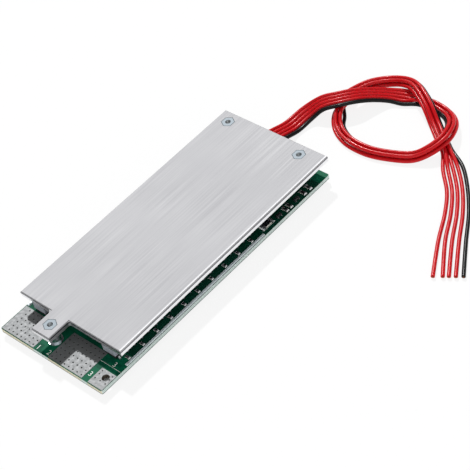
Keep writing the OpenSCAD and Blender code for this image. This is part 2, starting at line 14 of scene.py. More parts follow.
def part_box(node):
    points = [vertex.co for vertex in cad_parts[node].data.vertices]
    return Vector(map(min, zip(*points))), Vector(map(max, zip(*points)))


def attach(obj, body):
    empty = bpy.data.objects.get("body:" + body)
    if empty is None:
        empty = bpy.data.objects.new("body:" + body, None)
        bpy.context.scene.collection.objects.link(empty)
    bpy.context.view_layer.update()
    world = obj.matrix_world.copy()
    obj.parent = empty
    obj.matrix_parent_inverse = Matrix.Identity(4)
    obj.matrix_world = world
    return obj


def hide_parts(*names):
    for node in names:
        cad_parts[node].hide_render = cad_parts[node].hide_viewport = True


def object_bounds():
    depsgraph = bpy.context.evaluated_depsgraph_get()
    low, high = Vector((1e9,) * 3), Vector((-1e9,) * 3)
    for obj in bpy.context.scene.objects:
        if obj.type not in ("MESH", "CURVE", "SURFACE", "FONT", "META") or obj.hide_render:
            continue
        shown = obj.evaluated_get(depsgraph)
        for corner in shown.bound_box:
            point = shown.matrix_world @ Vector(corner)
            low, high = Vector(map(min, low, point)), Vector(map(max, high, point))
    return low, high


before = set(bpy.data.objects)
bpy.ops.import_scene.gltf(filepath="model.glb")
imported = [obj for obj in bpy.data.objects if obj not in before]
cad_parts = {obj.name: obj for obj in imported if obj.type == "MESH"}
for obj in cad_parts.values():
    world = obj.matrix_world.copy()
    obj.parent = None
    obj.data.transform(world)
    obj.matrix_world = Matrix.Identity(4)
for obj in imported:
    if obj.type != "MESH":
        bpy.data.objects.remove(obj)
AT_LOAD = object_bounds()
LOG = logging.getLogger("battery_management_board")
MM = 0.001


class Slot(Enum):
    """The record's material slots, named in the log for each new piece."""

    LAMINATE = "laminate"
    SOLDER = "solder"
    MOULDING = "moulding"
    RESISTOR = "chip_resistor"
    CAPACITOR = "chip_capacitor"
    RED = "wire_red"
    BLACK = "wire_black"


class Lay(Enum):
    """How the wires lie round the ribbon's middle: reds 1 to 4 and black, each (right, up) in spacings."""

    FLAT = ((-2, 0), (-1, 0), (0, 0), (1, 0), (2, 0))
    BUNCH = ((-1, 0), (-0.5, 0.87), (0, 0), (0.5, 0.87), (1, 0))
    LIFTED = ((-1, 0.92), (-0.5, 1.79), (0, 0.92), (0.5, 1.79), (1, 0))
    PASSED = ((0, 0.92), (-0.5, 1.79), (1, 0.92), (0.5, 1.79), (-1, 0))
    CROSSED = ((0, 0), (-0.5, 0.87), (1, 0), (0.5, 0.87), (-1, 0))
    FANNED = ((0, 0), (-1, 0), (2, 0), (1, 0), (-2, 0))
    SPREAD = ((-0.1, 0), (-1, 0), (2, 0), (0.7, 0), (-2, 0))


def srgb(code: str) -> tuple[float, float, float, float]:
    """Turns an sRGB hex colour into the linear colour that Blender wants.

    Args:
        code: the colour as "#rrggbb".

    Returns:
        Linear red, green, blue and an alpha of 1.
    """
    parts = [int(code[k : k + 2], 16) / 255 for k in (1, 3, 5)]
    return (*(c / 12.92 if c <= 0.04045 else ((c + 0.055) / 1.055) ** 2.4 for c in parts), 1.0)


def put(tree: Any, kind: str, inputs: Any = (), **settings: Any) -> Any:
    """Adds one node, sets its options and fills its sockets.

    Args:
        tree: the node tree.
        kind: the node's type, less its prefix.
        inputs: what goes into the node's live sockets, in order, or a dict by socket name. It is a
            constant, an output socket, or another node, which stands for its first live output.
        **settings: the node's own options.

    Returns:
        The new node.
    """
    made = tree.nodes.new(f"ShaderNode{kind}")
    for key, value in settings.items():
        setattr(made, key, value)
    if isinstance(inputs, dict):
        pairs = [(made.inputs[key], value) for key, value in inputs.items()]
    else:
        pairs = zip([socket for socket in made.inputs if socket.enabled], inputs)
    for socket, value in pairs:
        if isinstance(value, bpy.types.Node):
            value = next(output for output in value.outputs if output.enabled)
        if isinstance(value, bpy.types.NodeSocket):
            tree.links.new(value, socket)
        else:
            socket.default_value = value
    return made


def calm() -> None:
    """Goes back to object mode with nothing selected."""
    if bpy.context.object and bpy.context.object.mode != "OBJECT":
        bpy.ops.object.mode_set(mode="OBJECT")
    bpy.ops.object.select_all(action="DESELECT")


def take(piece: bpy.types.Object) -> None:
    """Selects one object alone and makes it the active one.

    Args:
        piece: the object.
    """
    calm()
    piece.select_set(True)
    bpy.context.view_layer.objects.active = piece


def edit(piece: bpy.types.Object) -> None:
    """Opens a piece in edit mode with all of it selected.

    Args:
        piece: the mesh object.
    """
    take(piece)
    bpy.ops.object.mode_set(mode="EDIT")
    bpy.ops.mesh.select_mode(type="FACE")
    bpy.ops.mesh.select_all(action="SELECT")


def pick(piece: bpy.types.Object, test: Callable[[Vector, Vector], bool]) -> None:
    """Opens a piece in edit mode with only the faces that pass the test selected.

    Args:
        piece: the mesh object.
        test: says yes or no from a face's middle and its normal.
    """
    take(piece)
    mesh = piece.data
    for group in (mesh.vertices, mesh.edges):
        group.foreach_set("select", [False] * len(group))
    for face in mesh.polygons:
        face.select = test(face.center, face.normal)
    bpy.ops.object.mode_set(mode="EDIT")
    bpy.ops.mesh.select_mode(type="FACE")


def new_piece(name: str) -> bpy.types.Object:
    """Names the object that an operator has just added.

    Args:
        name: the piece's name.

    Returns:
        The object.
    """
    piece = bpy.context.active_object
    piece.name = name
    piece.data.name = name
    return piece


def block(name: str, size: Sequence[float], edge: float = 0.0, base: float = 0.0) -> bpy.types.Object:
    """Models a box round the Z axis, standing at z = base, with rounded edges.

    Args:
        name: the piece's name.
        size: its width, length and height.
        edge: the radius of its edges.
        base: the height of its underside.

    Returns:
        The new object.
    """
    calm()
    bpy.ops.mesh.primitive_cube_add(size=1)
    piece = new_piece(name)
    edit(piece)
    bpy.ops.transform.resize(value=tuple(size))
    bpy.ops.transform.translate(value=(0, 0, base + size[2] / 2))
    if edge:
        bpy.ops.mesh.bevel(offset=edge, segments=2, affect="EDGES")
    calm()
    return piece


def join(name: str, parts: Sequence[bpy.types.Object]) -> bpy.types.Object:
    """Joins several objects into the first one.

    Args:
        name: the name of the result.
        parts: the objects.

    Returns:
        The joined object.
    """
    calm()
    for part in parts:
        part.select_set(True)
    bpy.context.view_layer.objects.active = parts[0]
    if len(parts) > 1:
        bpy.ops.object.join()
    return new_piece(name)


def settle(piece: bpy.types.Object, place: Matrix) -> bpy.types.Object:
    """Puts a mesh piece in its place and applies that to its mesh.

    Args:
        piece: the piece, made at the origin.
        place: where it goes.

    Returns:
        The same piece.
    """
    take(piece)
    piece.matrix_world = place
    bpy.ops.object.transform_apply(location=True, rotation=True, scale=True)
    return piece


def repeat(name: str, model: bpy.types.Object, places: Sequence[Matrix]) -> bpy.types.Object:
    """Copies a model to each place, each with its own mesh, and joins the copies into one row.

    Args:
        name: the row's name.
        model: the piece modelled at the origin; it is removed.
        places: where each copy goes.

    Returns:
        The row.
    """
    copies = []
    for place in places:
        take(model)
        bpy.ops.object.duplicate(linked=False)
        copies.append(settle(bpy.context.active_object, place))
    bpy.data.objects.remove(model)
    return join(name, copies)


def at(x: float, y: float, z: float, turn: float = 0.0) -> Matrix:
    """Makes a place: a turn about Z, in degrees, and then a move."""
    return Matrix.Translation((x, y, z)) @ Matrix.Rotation(math.radians(turn), 4, "Z")


def seat(
    piece: bpy.types.Object, slot: Slot, replaces: Sequence[str] = (), smooth: float = 35.0
) -> bpy.types.Object:
    """Finishes a new piece: smooth shading, its body, and hiding the CAD nodes it stands for; its slot is
    only logged.

    Args:
        piece: the object, in place.
        slot: the record's slot, which is only logged.
        replaces: the CAD nodes that it stands for.
        smooth: faces that meet at less than this angle, in degrees, shade as one.

    Returns:
        The same object.
    """
    if piece.type == "MESH":
        edit(piece)
        bpy.ops.mesh.normals_make_consistent(inside=False)
        take(piece)
        bpy.ops.object.shade_smooth_by_angle(angle=math.radians(smooth))
    calm()
    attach(piece, "root")
    if replaces:
        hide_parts(*replaces)
    faces = len(piece.data.polygons) if piece.type == "MESH" else 0
    LOG.info("built %s: %d faces, slot %s", piece.name, faces, slot.value)
    return piece


def dress(node: str, material: bpy.types.Material) -> None:
    """Gives a CAD node its material.

    Args:
        node: the CAD node's name.
        material: what goes into all of its slots.
    """
    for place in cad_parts[node].material_slots:
        place.material = material
    LOG.info("dressed %s with %s", node, material.name)


@dataclass(frozen=True)
class Finish:
    """A finish: a name, and a Principled shader whose inputs a subclass works out."""

    name: str

    def material(self) -> bpy.types.Material:
        """Makes the material.

        Returns:
            The node material.
        """
        made = bpy.data.materials.new(self.name)
        made.use_nodes = True
        tree = made.node_tree
        tree.nodes.clear()
        put(tree, "OutputMaterial", {"Surface": self.surface(tree)})
        return made

    def surface(self, tree: Any) -> Any:
        """Adds the shader that the surface shows and returns its node."""
        return put(tree, "BsdfPrincipled", self.inputs(tree))

    def inputs(self, tree: Any) -> dict[str, Any]:
        """Works out the Principled shader's inputs by socket name; each finish has its own."""
        raise NotImplementedError


@dataclass(frozen=True)
class Grained(Finish):
    """A surface whose colour, roughness and relief follow one fine noise.

    The noise stops a moulded, tinned or fired face looking like flat computer colour.
    """

    colour: str
    second: str
    grain: float
    rough: tuple[float, float]
    metal: float = 0.0
    relief: float = 0.0
    coat: float = 0.0
    shine: float = 0.5

    def inputs(self, tree: Any) -> dict[str, Any]:
        """Works out the shader's inputs from the noise.

        Args:
            tree: the material's node tree.

        Returns:
            Socket name to what goes in.
        """
        where = put(tree, "TexCoord").outputs["Object"]
        noise = put(tree, "TexNoise", (where, 1 / self.grain, 3.0))
        filled = {
            "Base Color": put(tree, "Mix", (noise, srgb(self.colour), srgb(self.second)), data_type="RGBA"),
            "Roughness": put(tree, "MapRange", (noise, 0.3, 0.7, *self.rough)),
            "Metallic": self.metal,
            "Specular IOR Level": self.shine,
            "Coat Weight": self.coat,
            "Coat Roughness": 0.12,
        }
        if self.relief:
            filled["Normal"] = put(tree, "Bump", {"Height": noise, "Distance": self.relief, "Strength": 0.6})
        return filled


@dataclass(frozen=True)
class ThreadedZinc(Finish):
    """Bright zinc plate, with an M3 thread in the relief of the walls inside a hole.

    The turns give the eye a tapped hole where the CAD has a plain one. The pressed top is scuffed
    matt, and a dark seam follows its hexagon, so that it parts from the sheet it is clinched into.
    """

    axis: tuple[float, float]
    thread_r: float
    hex_af: float = 5.6 * MM
    pitch: float = 0.5 * MM

    def inputs(self, tree: Any) -> dict[str, Any]:
        """Works out the shader's inputs from the distance to the hole's axis.

        Args:
            tree: the material's node tree.

        Returns:
            Socket name to what goes in.
        """
        where = put(tree, "TexCoord").outputs["Object"]
        noise = put(tree, "TexNoise", (where, 1 / (0.9 * MM), 3.0))
        local = put(tree, "VectorMath", (where, (*self.axis, 0)), operation="SUBTRACT")
        x, y, z = put(tree, "SeparateXYZ", (local,)).outputs
        angle = put(tree, "Math", (y, x), operation="ARCTAN2")
        turn = put(tree, "Math", (angle, 2 * math.pi), operation="DIVIDE")
        climb = put(tree, "Math", (z, 1 / self.pitch, turn), operation="MULTIPLY_ADD")
        ridge = put(tree, "Math", (climb, 0.5), operation="PINGPONG")
        flat = put(tree, "VectorMath", (local, (1, 1, 0)), operation="MULTIPLY")
        radius = put(tree, "VectorMath", (flat,), operation="LENGTH")
        inside = put(tree, "Math", (radius, self.thread_r + 0.03 * MM), operation="LESS_THAN")
        thread = put(tree, "Math", (ridge, inside), operation="MULTIPLY")
        height = put(tree, "Math", (noise, 0.06, thread), operation="MULTIPLY_ADD")
        normal = put(tree, "SeparateXYZ", (put(tree, "NewGeometry").outputs["Normal"],))
        top = put(tree, "Math", (normal.outputs["Z"], 0.8), operation="GREATER_THAN")
        reach = 0.0
        for turned in (0, 60, 120):
            way = (math.cos(math.radians(turned)), math.sin(math.radians(turned)), 0)
            across = put(tree, "VectorMath", (local, way), operation="DOT_PRODUCT")
            across = put(tree, "Math", (across,), operation="ABSOLUTE")
            reach = put(tree, "Math", (reach, across), operation="MAXIMUM")
        rim = self.hex_af / 2
        seam = put(tree, "MapRange", (reach, rim - 0.35 * MM, rim - 0.1 * MM))
        seam = put(tree, "Math", (seam, top), operation="MULTIPLY")
        colour = put(tree, "Mix", (noise, srgb("#e3e8ea"), srgb("#c3ccd2")), data_type="RGBA")
        for share, over in ((top, "#949ca2"), (seam, "#4d5559")):
            colour = put(tree, "Mix", (share, colour, srgb(over)), data_type="RGBA")
        rough = put(tree, "MapRange", (noise, 0.3, 0.7, 0.2, 0.34))
        return {
            "Base Color": colour,
            "Metallic": 1.0,
            "Roughness": put(tree, "Mix", (top, rough, 0.68), data_type="FLOAT"),
            "Normal": put(tree, "Bump", {"Height": height, "Distance": 0.6 * MM, "Strength": 1.0}),
        }


@dataclass(frozen=True)
class RolledAluminium(Finish):
    """Mill-finish sheet with rolling marks along its length.

    The marks run the long way and hardly change the tone, so the plate reads as raw sheet metal. Its
    sheared sides are pale, with painted shade as a dark line along their top, and a painted highlight
    brightens the top's rim on the right, where the blade rolled the edge over.
    The marks are drawn coarser than real ones, 0.5 mm wide, so that they show at all.
    """

    top: float
    right: float
    colour: str = "#bdbdbf"
    second: str = "#b5b5b8"
    mark: float = 0.5 * MM
    painted_line_depth: float = 1.1 * MM

    def inputs(self, tree: Any) -> dict[str, Any]:
        """Works out the shader's inputs from the marks, and from which way a face looks.

        Args:
            tree: the material's node tree.

        Returns:
            Socket name to what goes in.
        """
        where = put(tree, "TexCoord").outputs["Object"]
        along = put(tree, "Mapping", {"Vector": where, "Scale": (1, 0.012, 1)})
        marks = put(tree, "TexNoise", (along, 1 / self.mark, 4.0))
        cloud = put(tree, "TexNoise", (where, 1 / (30 * MM), 2.0))
        mixed = put(tree, "Math", (cloud, 0.3, marks), operation="MULTIPLY_ADD")
        share = put(tree, "MapRange", (mixed, 0.4, 0.9))
        rough = put(tree, "MapRange", (mixed, 0.4, 0.9, 0.7, 0.78))
        normal = put(tree, "SeparateXYZ", (put(tree, "NewGeometry").outputs["Normal"],))
        level = put(tree, "Math", (normal.outputs["Z"],), operation="ABSOLUTE")
        side = put(tree, "MapRange", (level, 0.9, 0.4))
        x, _, z = put(tree, "SeparateXYZ", (where,)).outputs
        # Painted highlight: the top turns lighter towards its right-hand edge, as light on the rolled rim.
        rim = put(tree, "MapRange", (x, self.right - 1.3 * MM, self.right - 0.5 * MM))
        # Painted shade: a dark line along the top of the sheared sides, above the pale break.
        line = put(tree, "Math", (z, self.top - self.painted_line_depth), operation="GREATER_THAN")
        painted_dark_line = put(tree, "Mix", (line, srgb("#f1f1f3"), srgb("#77777b")), data_type="RGBA")
        colour = put(tree, "Mix", (share, srgb(self.colour), srgb(self.second)), data_type="RGBA")
        colour = put(tree, "Mix", (rim, colour, srgb("#ececee")), data_type="RGBA")
        return {
            "Base Color": put(tree, "Mix", (side, colour, painted_dark_line), data_type="RGBA"),
            "Metallic": put(tree, "MapRange", (side, 0.0, 1.0, 0.5, 1.0)),
            "Roughness": put(tree, "Mix", (side, rough, 0.34), data_type="FLOAT"),
            "Normal": put(tree, "Bump", {"Height": marks, "Distance": 0.02 * MM, "Strength": 0.35}),
        }


@dataclass(frozen=True)
class MaskedLaminate(Finish):
    """Green solder mask over copper on top and below, cut glass laminate at the edges.

    Copper areas show lighter through the mask, and the stretch under the plate beside the transistor
    rows is darker, painted shade from the plate. The cut edge is pale mint with painted shade as a dark
    line at its foot, and under the terminal pads the via hole bottoms are painted near black as shade
    and the front edge is cream. The charging hole's plated wall is dark, partly painted shade.
    """

    pads: tuple[tuple[Vector, Vector], ...]
    front: float
    foot: float
    bare: tuple[float, float]
    hole: tuple[float, float, float]

    def inputs(self, tree: Any) -> dict[str, Any]:
        """Works out the shader's inputs from the height, the pads' boxes and the hole.

        Args:
            tree: the material's node tree.

        Returns:
            Socket name to what goes in.
        """
        where = put(tree, "TexCoord").outputs["Object"]
        x, y, z = put(tree, "SeparateXYZ", (where,)).outputs
        normal = put(tree, "SeparateXYZ", (put(tree, "NewGeometry").outputs["Normal"],))
        level = put(tree, "Math", (normal.outputs["Z"],), operation="ABSOLUTE")
        face = put(tree, "Math", (level, 0.5), operation="GREATER_THAN")
        patch = {"Vector": where, "Scale": 1 / (7 * MM), "Randomness": 0.8}
        cells = put(tree, "TexVoronoi", patch, feature="F1", distance="CHEBYCHEV")
        copper = put(tree, "MapRange", (cells, 0.42, 0.46, 1.0, 0.0))
        fine = put(tree, "TexNoise", (where, 1 / (1.2 * MM), 4.0))
        # Painted shade: the span under the plate, beside the transistor rows, that is drawn darker.
        first, last = self.bare
        bare = put(tree, "Math", (y, (first + last) / 2, (last - first) / 2), operation="COMPARE")
        # Inside the pads' boxes only the via hole bottoms show; they are painted near black as shade.
        in_pad, in_front = 0.0, 0.0
        for low, high in self.pads:
            wide = put(tree, "Math", (x, (low.x + high.x) / 2, (high.x - low.x) / 2), operation="COMPARE")
            deep = put(tree, "Math", (y, (low.y + high.y) / 2, (high.y - low.y) / 2), operation="COMPARE")
            both = put(tree, "Math", (wide, deep), operation="MULTIPLY")
            in_pad = put(tree, "Math", (in_pad, both), operation="MAXIMUM")
            in_front = put(tree, "Math", (in_front, wide), operation="MAXIMUM")
        mask = put(tree, "Mix", (copper, srgb("#05513b"), srgb("#076145")), data_type="RGBA")
        # Painted shade: the strip under the plate turns a darker green, and the via hole bottoms turn near
        # black.
        for share, over in ((bare, "#033a2b"), (in_pad, "#17130f")):
            mask = put(tree, "Mix", (share, mask, srgb(over)), data_type="RGBA")
        ahead = put(tree, "Math", (y, self.front + 0.3 * MM), operation="LESS_THAN")
        cream = put(tree, "Math", (ahead, in_front), operation="MULTIPLY")
        # Painted shade: the cut edge darkens at its foot.
        painted_dark_line = put(tree, "Math", (z, self.foot + 0.35 * MM), operation="LESS_THAN")
        layers = put(tree, "Mapping", {"Vector": where, "Scale": (1, 1, 14)})
        streak = put(tree, "TexNoise", (layers, 1 / (3 * MM), 3.0))
        edge = put(tree, "Mix", (streak, srgb("#c6d8d2"), srgb("#dde8e3")), data_type="RGBA")
        for share, over in ((cream, "#ded8c0"), (painted_dark_line, "#6d7876")):
            edge = put(tree, "Mix", (share, edge, srgb(over)), data_type="RGBA")
        # The charging hole's plated wall: dark plating, partly painted shade inside the hole.
        flat = put(tree, "VectorMath", (where, (1, 1, 0)), operation="MULTIPLY")
        radius = put(tree, "VectorMath", (flat, (*self.hole[:2], 0)), operation="DISTANCE")
        plated = put(tree, "Math", (radius, self.hole[2]), operation="LESS_THAN")
        colour = put(tree, "Mix", (face, edge, mask), data_type="RGBA")
        relief = put(tree, "Math", (fine, 0.25, copper), operation="MULTIPLY_ADD")
        return {
            "Base Color": put(tree, "Mix", (plated, colour, srgb("#5d564e")), data_type="RGBA"),
            "Roughness": put(tree, "MapRange", (face, 0.0, 1.0, 0.7, 0.5)),
            "Specular IOR Level": 0.06,
            "Normal": put(tree, "Bump", {"Height": relief, "Distance": 0.03 * MM, "Strength": 0.5}),
        }


@dataclass(frozen=True)
class PalePaper(Finish):
    """The studio floor: plain white to the camera with the object's shadow kept faint.

    Right under the board it stays as dark as it is, which the charging hole shows.
    """

    under: tuple[Vector, Vector]
    white: float = 0.86
    margin: float = 2 * MM

    def inputs(self, tree: Any) -> dict[str, Any]:
        """Gives the paper a fine tooth.

        Args:
            tree: the material's node tree.

        Returns:
            Socket name to what goes in.
        """
        tooth = put(tree, "TexNoise", (put(tree, "TexCoord").outputs["Object"], 1 / (2 * MM)))
        colour = put(tree, "Mix", (tooth, srgb("#f6f6f6"), srgb("#ffffff")), data_type="RGBA")
        return {"Base Color": colour, "Roughness": 0.9}

    def surface(self, tree: Any) -> Any:
        """Mixes a white glow, seen straight on or in reflections, over the shaded paper.

        Args:
            tree: the material's node tree.

        Returns:
            The mixed shader's node.
        """
        ways = put(tree, "SeparateXYZ", (put(tree, "TexCoord").outputs["Object"],)).outputs
        path = put(tree, "LightPath").outputs
        seen = put(tree, "Math", (path["Is Camera Ray"], path["Is Glossy Ray"]), operation="MAXIMUM")
        share = put(tree, "Math", (seen, self.white), operation="MULTIPLY")
        covered = 1.0
        for way, low, high in zip(ways[:2], *self.under):
            half = (high - low) / 2 - self.margin
            near = put(tree, "Math", (way, (low + high) / 2, half), operation="COMPARE")
            covered = put(tree, "Math", (covered, near), operation="MULTIPLY")
        clear = put(tree, "Math", (1.0, covered), operation="SUBTRACT")
        share = put(tree, "Math", (share, clear), operation="MULTIPLY")
        glow = put(tree, "Emission", ((1, 1, 1, 1), 1.0))
        return put(tree, "MixShader", (share, super().surface(tree), glow))


class Finishes:
    """Every finish on the object, made once."""

    def __init__(self) -> None:
        """Makes the materials."""
        # Tin from a solder bath: slight ripples break the highlight
        self.tin = Grained(
            "Tinned copper", "#9c9d9e", "#8d8f90", 1.4 * MM, (0.64, 0.74), metal=1.0, relief=0.02 * MM
        ).material()
        # Hand-soldered joints: smoother and brighter than the bath's tin
        self.solder = Grained(
            "Solder, reflowed", "#d3d8db", "#b9c1c6", 0.8 * MM, (0.16, 0.3), metal=1.0, relief=0.04 * MM
        ).material()
        # Matt tin on the chips' ends, painted near white as highlights: points of light under the plate
        self.caps = Grained(
            "Tin caps painted as highlights", "#fdfdfd", "#f2f4f5", 0.3 * MM, (0.35, 0.5), metal=0.08
        ).material()
        # Solder from the iron, run along the edge: pale, faintly blue, rippled
        self.bath = Grained(
            "Solder, run by hand", "#e0e8ea", "#b6c1c6", 0.9 * MM, (0.34, 0.5), metal=0.2, relief=0.08 * MM
        ).material()
        # Stamped leads: satin, a little darker than fresh solder
        self.leads = Grained(
            "Tin-plated leads", "#c6c9cb", "#b2b6b9", 0.4 * MM, (0.26, 0.4), metal=1.0
        ).material()
        # Transfer-moulded epoxy: fine grain keeps black faces readable
        self.moulding = Grained(
            "Epoxy moulding compound", "#26272a", "#1b1c1e", 0.12 * MM, (0.42, 0.6), relief=0.01 * MM
        ).material()
        # Filled silicone pad: matt, soft grey, slightly mottled
        self.silicone = Grained(
            "Silicone thermal pad", "#a3a8b0", "#8f959e", 0.5 * MM, (0.7, 0.85), relief=0.02 * MM
        ).material()
        # Overglaze on a chip resistor: near-black glass with a soft shine
        self.glass = Grained(
            "Resistor overglaze", "#1d1f22", "#121315", 0.3 * MM, (0.2, 0.32), relief=0.004 * MM
        ).material()
        # Fired alumina: the white flank under the glaze
        self.ceramic = Grained("Alumina, fired", "#ece9e2", "#d9d5cc", 0.2 * MM, (0.5, 0.65)).material()
        # Capacitor ceramic: tan with faint clouds
        self.capacitor = Grained(
            "Capacitor ceramic", "#b08a5e", "#9d7950", 0.25 * MM, (0.4, 0.55)
        ).material()
        # Soft PVC, extruded: faint clouds of colour under a thin sheen
        self.red = Grained(
            "Extruded insulation, red", "#d60c18", "#bf0812", 2.2 * MM, (0.3, 0.42),
            relief=0.03 * MM, coat=0.05, shine=0.22,
        ).material()
        self.black = Grained(
            "Extruded insulation, black", "#0c0c0e", "#060607", 2.2 * MM, (0.32, 0.44),
            relief=0.03 * MM, coat=0.05, shine=0.2,
        ).material()
        # Drawn copper strands at the cut ends, dulled
        self.strand = Grained(
            "Copper strands", "#b87a55", "#8f5c40", 0.2 * MM, (0.3, 0.5), metal=1.0
        ).material()
        # Screen-printed ink: slightly uneven white
        self.ink = Grained("Screen-printed ink", "#eef2ec", "#dbe2da", 0.25 * MM, (0.55, 0.7)).material()
        # Sheet aluminium as rolled: long marks over an even grey, painted shade and highlight at its edges
        _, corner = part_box("heatsink_plate")
        self.plate = RolledAluminium("Aluminium sheet, as rolled", corner.z, corner.x).material()
        # Zinc plate on the turned screws: brighter than the sheet that they hold
        self.zinc_screws = Grained(
            "Zinc-plated screws", "#dfe4e7", "#bcc5cb", 0.7 * MM, (0.22, 0.36), metal=1.0
        ).material()


@dataclass
class StudioCamera:
    """The camera: a long lens from the front right, above, turned a little about its axis."""

    place: tuple[float, float, float] = (0.40167, -0.27683, 0.47858)
    forward: tuple[float, float, float] = (-0.56391, 0.43912, -0.69942)
    roll: float = -14.67
    lens: float = 122.55

    def build(self) -> None:
        """Adds the camera and makes it the scene's."""
        calm()
        bpy.ops.object.camera_add()
        camera = new_piece("studio_camera")
        ahead = Vector(self.forward).normalized()
        level = ahead.cross(Vector((0, 0, 1))).normalized()
        turn = Matrix((level, level.cross(ahead), -ahead)).transposed().to_4x4()
        camera.matrix_world = (
            Matrix.Translation(self.place) @ turn @ Matrix.Rotation(math.radians(self.roll), 4, "Z")
        )
        camera.data.lens = self.lens
        camera.data.clip_start, camera.data.clip_end = 0.01, 20
        bpy.context.scene.camera = camera


@dataclass
class SenseWires:
    """Five insulated wires in one ribbon: from the board's joints, over its back edge, round a loose knot."""

    names: tuple[str, ...] = ("wire_red_1", "wire_red_2", "wire_red_3", "wire_red_4", "wire_black")
    diameter: float = 1.8 * MM
    strand_r: float = 0.12 * MM
    tip: float = 0.35 * MM
    lowest: float = 0.94 * MM

    def start(self) -> tuple[float, float, float]:
        """Finds the middle wire's end on the board.

        Returns:
            X, Y and Z in millimetres.
        """
        low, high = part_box("wire_joints")
        board_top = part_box("circuit_board")[1].z
        return (low.x + high.x) / 2 / MM, high.y / MM, board_top / MM + 0.95

    def route(self) -> list[tuple[float, float, float, Lay, float]]:
        """Gives the middle of the ribbon, laid by hand, from the joints to the cut ends.

        Returns:
            X and Y from the joints, Z of the lowest wires, how they lie and their spacing, in millimetres.
        """
        on = self.start()[2]
        return [
            (0, 0, on, Lay.FLAT, 2.55), (0, 8.5, on + 0.2, Lay.FLAT, 2.45), (0.1, 17, 3, Lay.FLAT, 2.3),
            (0.6, 25.5, 1.1, Lay.FLAT, 2.2), (2, 35, 2.3, Lay.FLAT, 2.2), (6.2, 41, 5.5, Lay.FLAT, 2.2),
            (11.8, 45.6, 6.9, Lay.FLAT, 2.15), (16.6, 51, 6.8, Lay.FLAT, 2.1),
            (20.8, 57.4, 4.6, Lay.FLAT, 2.05), (26.4, 63.6, 2, Lay.FLAT, 2), (33.5, 67, 1, Lay.FLAT, 2.2),
            (41, 68.2, 1, Lay.BUNCH, 2.15), (49, 68.6, 1, Lay.BUNCH, 2.15),
            (57, 66.8, 1.2, Lay.BUNCH, 2.15), (63, 62.2, 2.8, Lay.BUNCH, 2.15),
            (66.8, 55.8, 4.6, Lay.BUNCH, 2.15), (68, 49.2, 5, Lay.BUNCH, 2.15),
            (65.8, 42.2, 3.6, Lay.BUNCH, 2.15), (60.6, 37, 1.4, Lay.BUNCH, 2.15),
            (51.6, 32.9, 1, Lay.BUNCH, 2.15), (41, 30.2, 1, Lay.BUNCH, 2.15),
            (29.5, 30.9, 1, Lay.BUNCH, 2.15), (20.2, 35.4, 1, Lay.BUNCH, 2.15),
            (15.2, 42, 1, Lay.LIFTED, 2.15), (11.9, 52, 1, Lay.PASSED, 2.15),
            (11, 59, 1, Lay.CROSSED, 2.15), (14.2, 66, 1, Lay.CROSSED, 2.15),
            (20.2, 71.8, 1, Lay.CROSSED, 2.15), (28, 73.8, 2.6, Lay.CROSSED, 2.15),
            (35.8, 71.8, 4.9, Lay.CROSSED, 2.15), (43, 68, 5, Lay.CROSSED, 2.15),
            (50, 63.4, 4.2, Lay.CROSSED, 2.15), (56.8, 58.6, 1.4, Lay.CROSSED, 2.15),
            (63.8, 53.2, 1, Lay.CROSSED, 2.15), (71, 47.8, 1, Lay.CROSSED, 2.15),
            (79.4, 40.4, 1, Lay.FANNED, 2.15), (89, 30.4, 1, Lay.FANNED, 2.2), (97, 19, 1, Lay.FANNED, 2.5),
            (104.6, 5.4, 1, Lay.FANNED, 2.85), (115, -11.5, 1, Lay.SPREAD, 3.1),
        ]  # fmt: skip

    def knots(self, wire: int) -> list[Vector]:
        """Works out one wire's own points from the ribbon's middle.

        Args:
            wire: 0 to 3 for the reds, 4 for black.

        Returns:
            The points in metres.
        """
        rows, home, points = self.route(), self.start(), []
        for k, (x, y, z, lay, step) in enumerate(rows):
            after, before = rows[min(k + 1, len(rows) - 1)], rows[max(k - 1, 0)]
            way = Vector((after[0] - before[0], after[1] - before[1])).normalized()
            side, up = lay.value[wire]
            x, y = home[0] + x + way.y * side * step, home[1] + y - way.x * side * step
            points.append(Vector((x, y, z + up * step)) * MM)
        return points

    def build(self, finishes: Finishes) -> None:
        """Models every wire and its strands."""
        for k, name in enumerate(self.names):
            self.wire(k, name, finishes)

    def wire(self, k: int, name: str, finishes: Finishes) -> None:
        """Args:
            k: which wire.
            name: the CAD node that it stands for.
            finishes: the materials.
        """
        points = self.knots(k)
        way = (points[-1] - points[-2]).normalized()
        end = points[-1].copy()
        points[-1] = end - way * self.tip
        calm()
        bpy.ops.curve.primitive_bezier_curve_add()
        piece = new_piece(f"insulated_{name}")
        line = piece.data.splines[0]
        line.bezier_points.add(len(points) - 2)
        for i, point in enumerate(points):
            handle = (points[min(i + 1, len(points) - 1)] - points[max(i - 1, 0)]) / 6
            knot = line.bezier_points[i]
            knot.handle_left_type = knot.handle_right_type = "FREE"
            before, after = point - handle, point + handle
            before.z, after.z = max(before.z, self.lowest), max(after.z, self.lowest)
            knot.co, knot.handle_left, knot.handle_right = point, before, after
        line.resolution_u = 10
        piece.data.dimensions = "3D"
        piece.data.bevel_depth = self.diameter / 2
        piece.data.bevel_resolution = 6
        piece.data.use_fill_caps = True
        knots = line.bezier_points
        length = sum(self.stretch(knots[i], knots[i + 1]) for i in range(len(points) - 1))
        black = name == "wire_black"
        piece.data.materials.append(finishes.black if black else finishes.red)
        seat(piece, Slot.BLACK if black else Slot.RED, [name])
        strands = self.strands(name, end, way, finishes)
        LOG.info("%s is %.1f mm long", piece.name, length / MM)

    def stretch(self, a: Any, b: Any) -> float:
        """Measures the curve between two of its points.

        Args:
            a: the first Bezier point.
            b: the next one.

        Returns:
            The length in metres.
        """
        total, last, steps = 0.0, a.co.copy(), 24
        for step in range(1, steps + 1):
            t = step / steps
            s = 1 - t
            here = a.co * s**3 + a.handle_right * 3 * s * s * t + b.handle_left * 3 * s * t * t + b.co * t**3
            total += (here - last).length
            last = here
        return total

